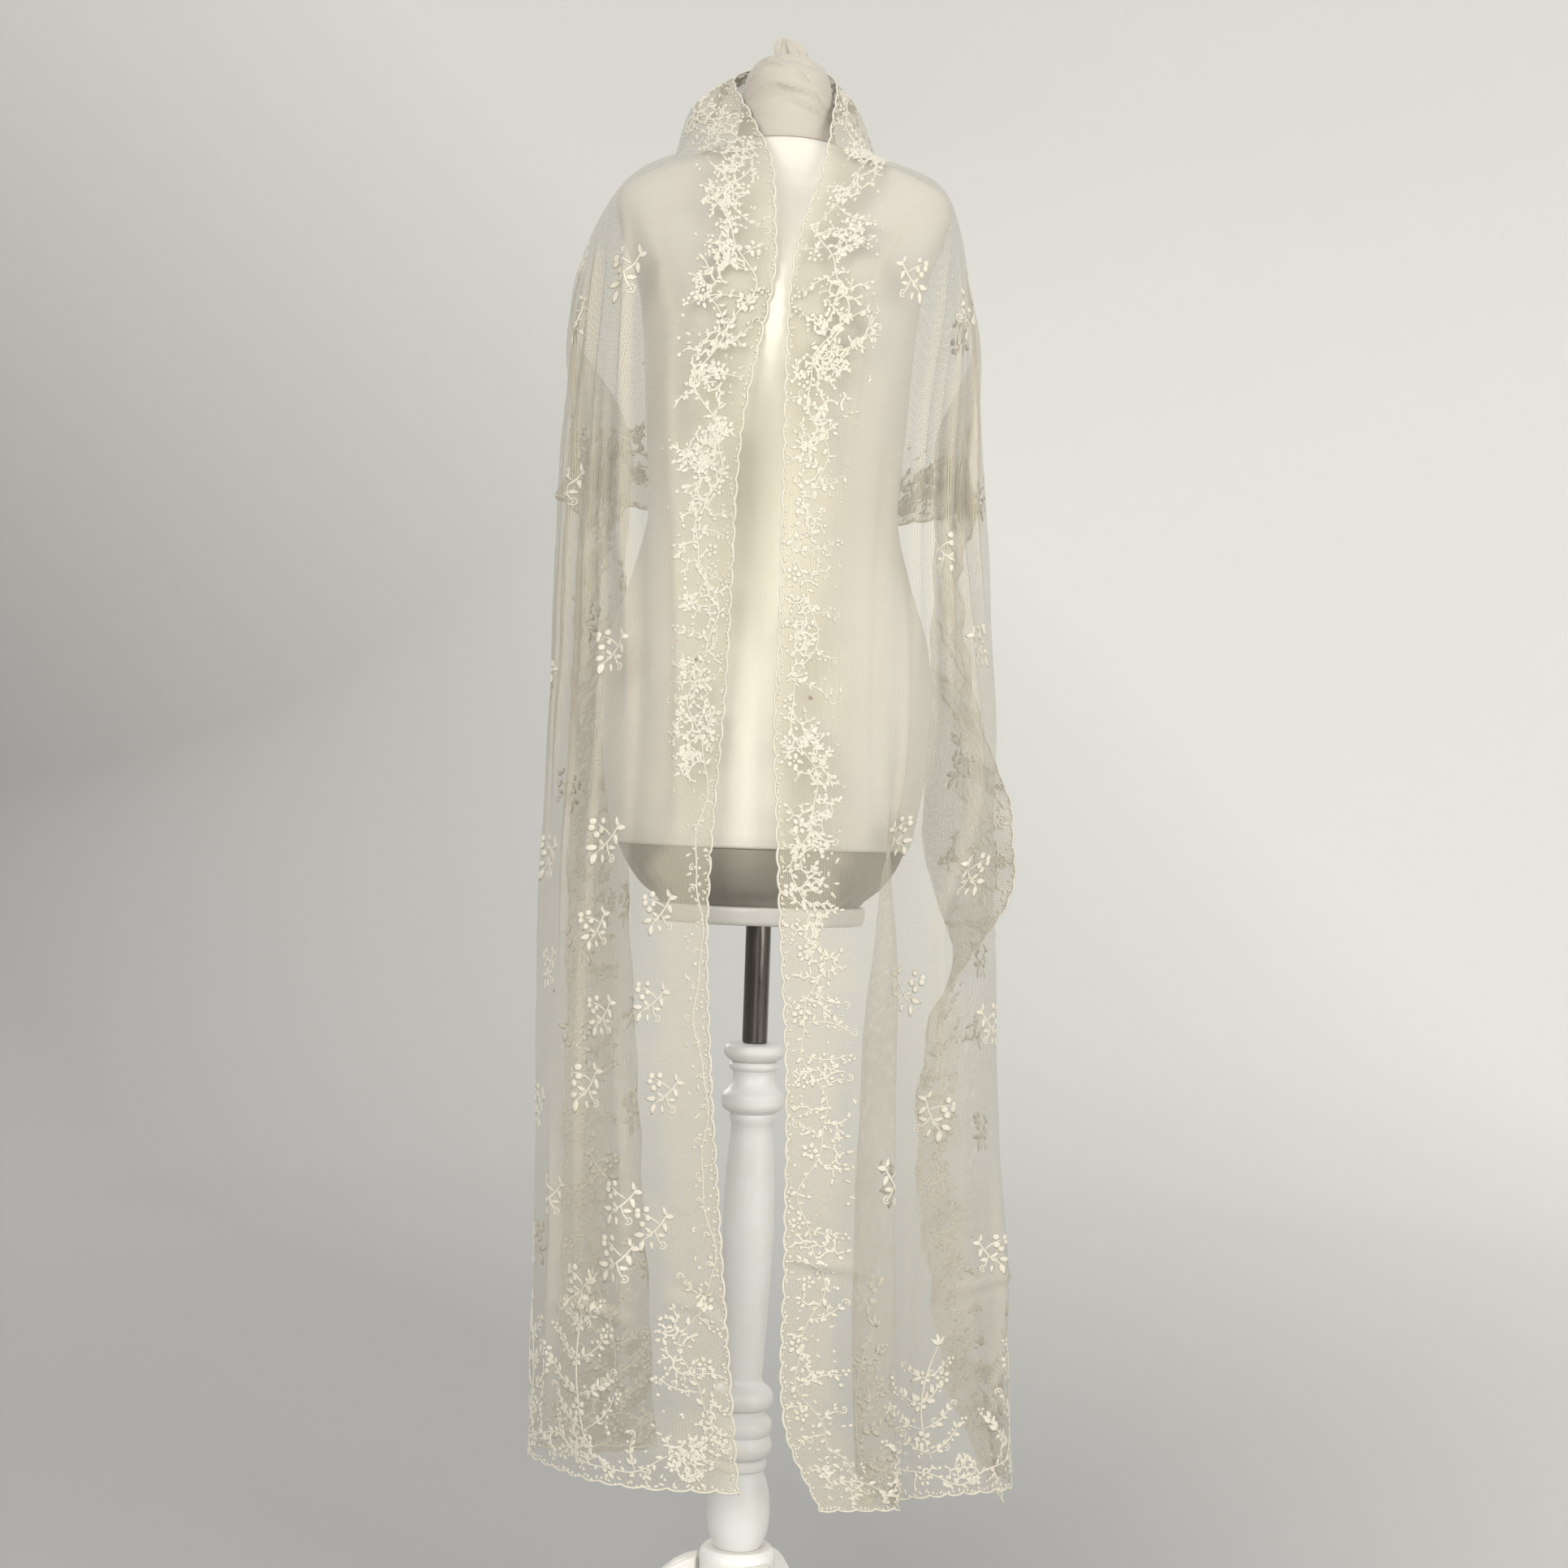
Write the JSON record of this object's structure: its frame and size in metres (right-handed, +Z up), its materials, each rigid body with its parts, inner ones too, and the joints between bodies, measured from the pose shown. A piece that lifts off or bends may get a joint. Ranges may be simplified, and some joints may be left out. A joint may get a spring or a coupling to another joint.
{
  "type": "lace shawl on dress form stand",
  "caption": "Long rectangular shawl of embroidered net, hung round the neck and over the shoulders of a limbless dress form on a turned stand.",
  "frame": {"origin": "on the floor, below the middle of the object's width and depth", "axes": "+Z up, -Y towards the viewer in front of the form, +X to the viewer's right"},
  "size_m": [0.5099, 0.4234, 1.682],
  "materials": {
    "net": "fine cream machine net, see-through, soft and dull",
    "embroidery": "thick cream cotton thread, worked in flowers and leaves",
    "jersey": "off-white knitted jersey, stretched over padding",
    "white_paint": "turned wood under satin white paint",
    "chrome": "polished steel tube"
  },
  "bodies": {
    "root": {"form_torso": "jersey", "form_underside": "jersey", "form_neck_cap": "jersey", "form_cap_knob": "jersey", "form_plate": "white_paint", "stand_pole": "chrome", "stand_post": "white_paint", "stand_hub": "white_paint", "stand_leg_1": "white_paint", "stand_leg_2": "white_paint", "stand_leg_3": "white_paint", "stand_foot_1": "white_paint", "stand_foot_2": "white_paint", "stand_foot_3": "white_paint", "shawl_neck": "net", "shawl_left_shoulder": "net", "shawl_left_fall": "net", "shawl_right_shoulder": "net", "shawl_right_fall": "net"}
  },
  "joints": []
}
